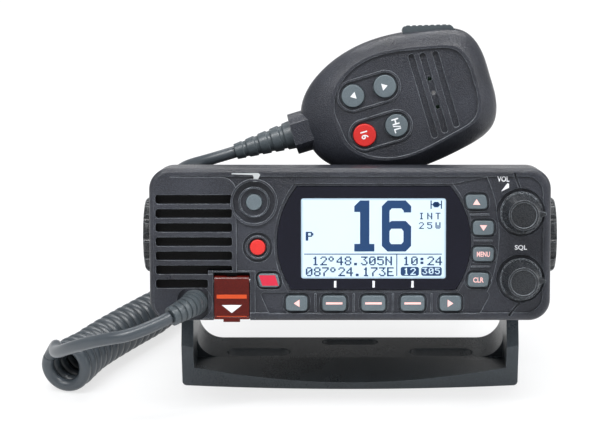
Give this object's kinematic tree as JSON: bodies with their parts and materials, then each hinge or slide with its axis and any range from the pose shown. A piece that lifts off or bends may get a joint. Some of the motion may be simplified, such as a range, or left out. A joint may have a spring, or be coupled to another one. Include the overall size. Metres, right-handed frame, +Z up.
{
  "type": "marine vhf radio",
  "caption": "Fixed-mount marine VHF radio tilting in a U bracket, with fist microphone on a curly cord, display, keys and two knobs.",
  "frame": {"origin": "centre of the mounting bracket's underside", "axes": "+X to the radio's right seen from the front, +Y to its back, +Z up; the display faces -Y"},
  "size_m": [0.2113, 0.1784, 0.1464],
  "materials": {
    "bracket_paint": "fine textured dark grey",
    "chassis_paint": "textured black paint on die-cast aluminium",
    "case_plastic": "fine moulded grain, charcoal",
    "seal_rubber": "matt black",
    "display_gloss": "polished, black printed border with a clear window",
    "lcd_pale": "pale blue backlit panel",
    "board_green": "solder mask",
    "tin_can": "tinned",
    "mat_rubber": "smooth silicone",
    "stamped_steel": "zinc plated",
    "cone_paper": "coated paper",
    "net_black": "woven dust net",
    "screw_steel": "stainless",
    "plated_brass": "nickel plated",
    "white_insulator": "moulded white",
    "knob_plastic": "soft matt black",
    "shaft_steel": "turned",
    "insert_brass": "turned",
    "boot_rubber": "ringed dark grey",
    "cover_red": "translucent dark red",
    "button_red": "smooth red",
    "key_grey": "smooth grey",
    "scan_red": "red face with a grey border",
    "talk_grey": "ribbed dark grey",
    "cord_rubber": "satin jacket"
  },
  "bodies": {
    "bracket": {"mounting_bracket": "bracket_paint", "cord_lead": "cord_rubber", "cord_coil": "cord_rubber", "cord_tail": "cord_rubber"},
    "radio": {"rear_chassis": "chassis_paint", "front_panel": "case_plastic", "panel_gasket": "seal_rubber", "display_window": "display_gloss", "lcd_panel": "lcd_pale", "front_board": "board_green", "main_board": "board_green", "shield_can": "tin_can", "key_mat": "mat_rubber", "speaker_frame": "stamped_steel", "speaker_cone": "cone_paper", "speaker_net": "net_black", "case_screws": "screw_steel", "board_screws": "screw_steel", "antenna_socket": "plated_brass", "antenna_insulator": "white_insulator", "rear_cable_gland": "seal_rubber", "rotary_controls": "stamped_steel", "thread_inserts": "insert_brass", "bracket_washers": "seal_rubber", "cord_gland": "boot_rubber", "distress_hinge_pin": "shaft_steel", "distress_cover_spring": "shaft_steel"},
    "microphone": {"mic_front_case": "case_plastic", "mic_rear_case": "case_plastic", "mic_screws": "screw_steel", "mic_board": "board_green", "mic_capsule": "stamped_steel", "mic_hanger_stud": "shaft_steel", "mic_cord_boot": "boot_rubber"},
    "volume": {"volume_knob": "knob_plastic", "volume_shaft": "shaft_steel"},
    "squelch": {"squelch_knob": "knob_plastic", "squelch_shaft": "shaft_steel"},
    "left_clamp_knob": {"left_bracket_knob": "knob_plastic"},
    "right_clamp_knob": {"right_bracket_knob": "knob_plastic"},
    "distress_flap": {"distress_cover": "cover_red"},
    "power_key": {"power_button": "button_red"},
    "call_key": {"call_button": "key_grey"},
    "distress_key": {"distress_button": "button_red"},
    "talk_switch": {"talk_button": "talk_grey"},
    "mic_key_down_body": {"mic_key_down": "key_grey"},
    "mic_key_up_body": {"mic_key_up": "key_grey"},
    "mic_key_power_body": {"mic_key_power": "key_grey"},
    "mic_key_channel_body": {"mic_key_channel": "button_red"},
    "key_up_body": {"key_up": "key_grey"},
    "key_down_body": {"key_down": "key_grey"},
    "key_menu_body": {"key_menu": "key_grey"},
    "key_clear_body": {"key_clear": "key_grey"},
    "key_left_body": {"key_left": "key_grey"},
    "soft_key_left_body": {"soft_key_left": "key_grey"},
    "soft_key_middle_body": {"soft_key_middle": "key_grey"},
    "soft_key_right_body": {"soft_key_right": "key_grey"},
    "key_right_body": {"key_right": "key_grey"},
    "scan_key_body": {"scan_key": "scan_red"}
  },
  "joints": [
    {"name": "radio_tilt", "type": "hinge", "parent": "bracket", "child": "radio", "pos_m": [0, 0, 0.06], "axis": [1, 0, 0], "range_deg": [-10, 16], "deforming": ["cord_lead", "cord_tail"]},
    {"name": "left_clamp_turn", "type": "hinge", "parent": "radio", "child": "left_clamp_knob", "pos_m": [-0.078, 0, 0.06], "axis": [-1, 0, 0], "continuous": true},
    {"name": "right_clamp_turn", "type": "hinge", "parent": "radio", "child": "right_clamp_knob", "pos_m": [0.078, 0, 0.06], "axis": [1, 0, 0], "continuous": true},
    {"name": "volume_turn", "type": "hinge", "parent": "radio", "child": "volume", "pos_m": [0.068, -0.04496, 0.0854], "axis": [0, -0.9659, 0.2588], "range_deg": [-60, 240]},
    {"name": "squelch_turn", "type": "hinge", "parent": "radio", "child": "squelch", "pos_m": [0.068, -0.05182, 0.0598], "axis": [0, -0.9659, 0.2588], "range_deg": [-60, 240]},
    {"name": "key_up_press", "type": "slide", "parent": "radio", "child": "key_up_body", "axis": [0, 0.9659, -0.2588], "range_m": [0, 0.0008], "stiffness_N_per_m": 1500},
    {"name": "key_down_press", "type": "slide", "parent": "radio", "child": "key_down_body", "axis": [0, 0.9659, -0.2588], "range_m": [0, 0.0008], "stiffness_N_per_m": 1500},
    {"name": "key_menu_press", "type": "slide", "parent": "radio", "child": "key_menu_body", "axis": [0, 0.9659, -0.2588], "range_m": [0, 0.0008], "stiffness_N_per_m": 1500},
    {"name": "key_clear_press", "type": "slide", "parent": "radio", "child": "key_clear_body", "axis": [0, 0.9659, -0.2588], "range_m": [0, 0.0008], "stiffness_N_per_m": 1500},
    {"name": "key_left_press", "type": "slide", "parent": "radio", "child": "key_left_body", "axis": [0, 0.9659, -0.2588], "range_m": [0, 0.0008], "stiffness_N_per_m": 1500},
    {"name": "soft_key_left_press", "type": "slide", "parent": "radio", "child": "soft_key_left_body", "axis": [0, 0.9659, -0.2588], "range_m": [0, 0.0008], "stiffness_N_per_m": 1500},
    {"name": "soft_key_middle_press", "type": "slide", "parent": "radio", "child": "soft_key_middle_body", "axis": [0, 0.9659, -0.2588], "range_m": [0, 0.0008], "stiffness_N_per_m": 1500},
    {"name": "soft_key_right_press", "type": "slide", "parent": "radio", "child": "soft_key_right_body", "axis": [0, 0.9659, -0.2588], "range_m": [0, 0.0008], "stiffness_N_per_m": 1500},
    {"name": "key_right_press", "type": "slide", "parent": "radio", "child": "key_right_body", "axis": [0, 0.9659, -0.2588], "range_m": [0, 0.0008], "stiffness_N_per_m": 1500},
    {"name": "scan_key_press", "type": "slide", "parent": "radio", "child": "scan_key_body", "axis": [0, 0.9659, -0.2588], "range_m": [0, 0.0008], "stiffness_N_per_m": 1500},
    {"name": "power_press", "type": "slide", "parent": "radio", "child": "power_key", "axis": [0, 0.9659, -0.2588], "range_m": [0, 0.0008], "stiffness_N_per_m": 1500},
    {"name": "call_press", "type": "slide", "parent": "radio", "child": "call_key", "axis": [0, 0.9659, -0.2588], "range_m": [0, 0.0008], "stiffness_N_per_m": 1500},
    {"name": "distress_press", "type": "slide", "parent": "radio", "child": "distress_key", "axis": [0, 0.9659, -0.2588], "range_m": [0, 0.001], "stiffness_N_per_m": 1500},
    {"name": "distress_flap_swing", "type": "hinge", "parent": "radio", "child": "distress_flap", "pos_m": [-0.0472, -0.04387, 0.05664], "axis": [-1, 0, 0], "range_deg": [0, 95], "stiffness_Nm_per_rad": 0.002, "springref_deg": -20.05},
    {"name": "microphone_lift", "type": "slide", "parent": "radio", "child": "microphone", "axis": [0, 0.2588, 0.9659], "range_m": [0, 0.06], "deforming": ["cord_tail"]},
    {"name": "talk_press", "type": "slide", "parent": "microphone", "child": "talk_switch", "axis": [0.289, -0.2478, -0.9247], "range_m": [0, 0.0012], "stiffness_N_per_m": 1200},
    {"name": "mic_key_down_press", "type": "slide", "parent": "microphone", "child": "mic_key_down_body", "axis": [0, 0.9659, -0.2588], "range_m": [0, 0.0008], "stiffness_N_per_m": 1500},
    {"name": "mic_key_up_press", "type": "slide", "parent": "microphone", "child": "mic_key_up_body", "axis": [0, 0.9659, -0.2588], "range_m": [0, 0.0008], "stiffness_N_per_m": 1500},
    {"name": "mic_key_channel_press", "type": "slide", "parent": "microphone", "child": "mic_key_channel_body", "axis": [0, 0.9659, -0.2588], "range_m": [0, 0.0008], "stiffness_N_per_m": 1500},
    {"name": "mic_key_power_press", "type": "slide", "parent": "microphone", "child": "mic_key_power_body", "axis": [0, 0.9659, -0.2588], "range_m": [0, 0.0008], "stiffness_N_per_m": 1500}
  ]
}
